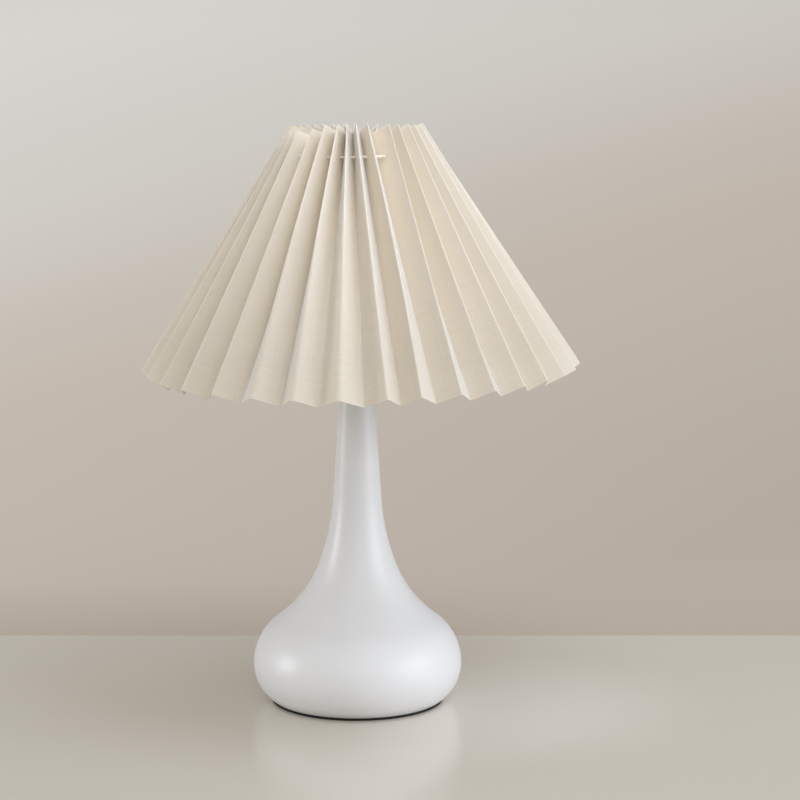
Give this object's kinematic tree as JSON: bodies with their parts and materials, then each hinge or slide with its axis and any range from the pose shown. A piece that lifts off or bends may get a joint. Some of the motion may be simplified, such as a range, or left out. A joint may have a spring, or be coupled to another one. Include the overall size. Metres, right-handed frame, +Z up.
{
  "type": "pleated table lamp",
  "caption": "Table lamp with a gourd-shaped white metal base, a lamp holder with a bulb, and a pleated conical shade gathered by a cord on a wire frame.",
  "frame": {"origin": "middle of the foot's resting face, on the lamp's axis", "axes": "+Z up along the lamp's axis, -Y to the front, +Y to the lead's bush at the back"},
  "size_m": [0.3494, 0.3493, 0.462],
  "materials": {
    "white_paint": "satin white lacquer on spun steel",
    "foam_pad": "matt black closed-cell foam",
    "zinc_steel": "zinc plated",
    "cast_weight": "rough sand-cast",
    "bush_plastic": "moulded",
    "holder_plastic": "moulded thermoset",
    "brass": "plain brass",
    "porcelain": "steatite",
    "nickel_shell": "nickel-plated sheet",
    "solder": "solder",
    "black_glass": "black glass",
    "bulb_metal": "plated",
    "bulb_plastic": "satin moulded",
    "opal_dome": "opal diffuser",
    "board_metal": "white solder mask",
    "led_chip": "phosphor",
    "circuit_board": "circuit board",
    "shade_fabric": "cream pleated cloth, stiffened",
    "gather_cord": "twisted cream cord",
    "frame_paint": "white enamelled wire"
  },
  "bodies": {
    "stand": {"foot_pad": "foam_pad", "bottom_plate": "zinc_steel", "base_weight": "cast_weight", "weight_nut": "zinc_steel", "base_body": "white_paint", "cable_bush": "bush_plastic", "threaded_tube": "zinc_steel", "base_washer": "zinc_steel", "base_nut": "zinc_steel", "neck_cap": "white_paint", "neck_nut": "zinc_steel", "holder_cup": "holder_plastic", "holder_insert": "brass", "grub_screw": "zinc_steel", "holder_barrel": "holder_plastic", "holder_core": "porcelain", "terminal_clamps": "brass", "terminal_screws": "zinc_steel", "screw_shell": "nickel_shell", "centre_contact": "brass"},
    "ring": {"shade_ring": "holder_plastic"},
    "shade": {"pleated_cover": "shade_fabric", "gather_cord": "gather_cord", "top_ring": "frame_paint", "bottom_ring": "frame_paint", "frame_ribs": "frame_paint", "fitter_ring": "frame_paint", "fitter_arms": "frame_paint"},
    "bulb_tip": {"bulb_contact": "solder", "bulb_insulator": "black_glass"},
    "bulb": {"bulb_shell": "bulb_metal", "bulb_housing": "bulb_plastic", "bulb_dome": "opal_dome", "bulb_board": "board_metal", "bulb_leds": "led_chip", "bulb_driver": "circuit_board"}
  },
  "joints": [
    {"name": "shade_turn", "type": "hinge", "parent": "stand", "child": "shade", "pos_m": [0, 0, 0.3062], "axis": [0, 0, 1], "continuous": true},
    {"name": "ring_turn", "type": "hinge", "parent": "stand", "child": "ring", "pos_m": [0, 0, 0.3142], "axis": [0, 0, 1], "range_deg": [0, 1080]},
    {"name": "bulb_rise", "type": "slide", "parent": "stand", "child": "bulb_tip", "axis": [0, 0, 1], "range_m": [0, 0.01452]},
    {"name": "bulb_turn", "type": "hinge", "parent": "bulb_tip", "child": "bulb", "pos_m": [0, 0, 0.322], "axis": [0, 0, 1], "range_deg": [0, 1440]}
  ],
  "couplings": [
    {"joint": "bulb_rise", "follows": "bulb_turn", "m_per_rad": 0.00057757}
  ]
}
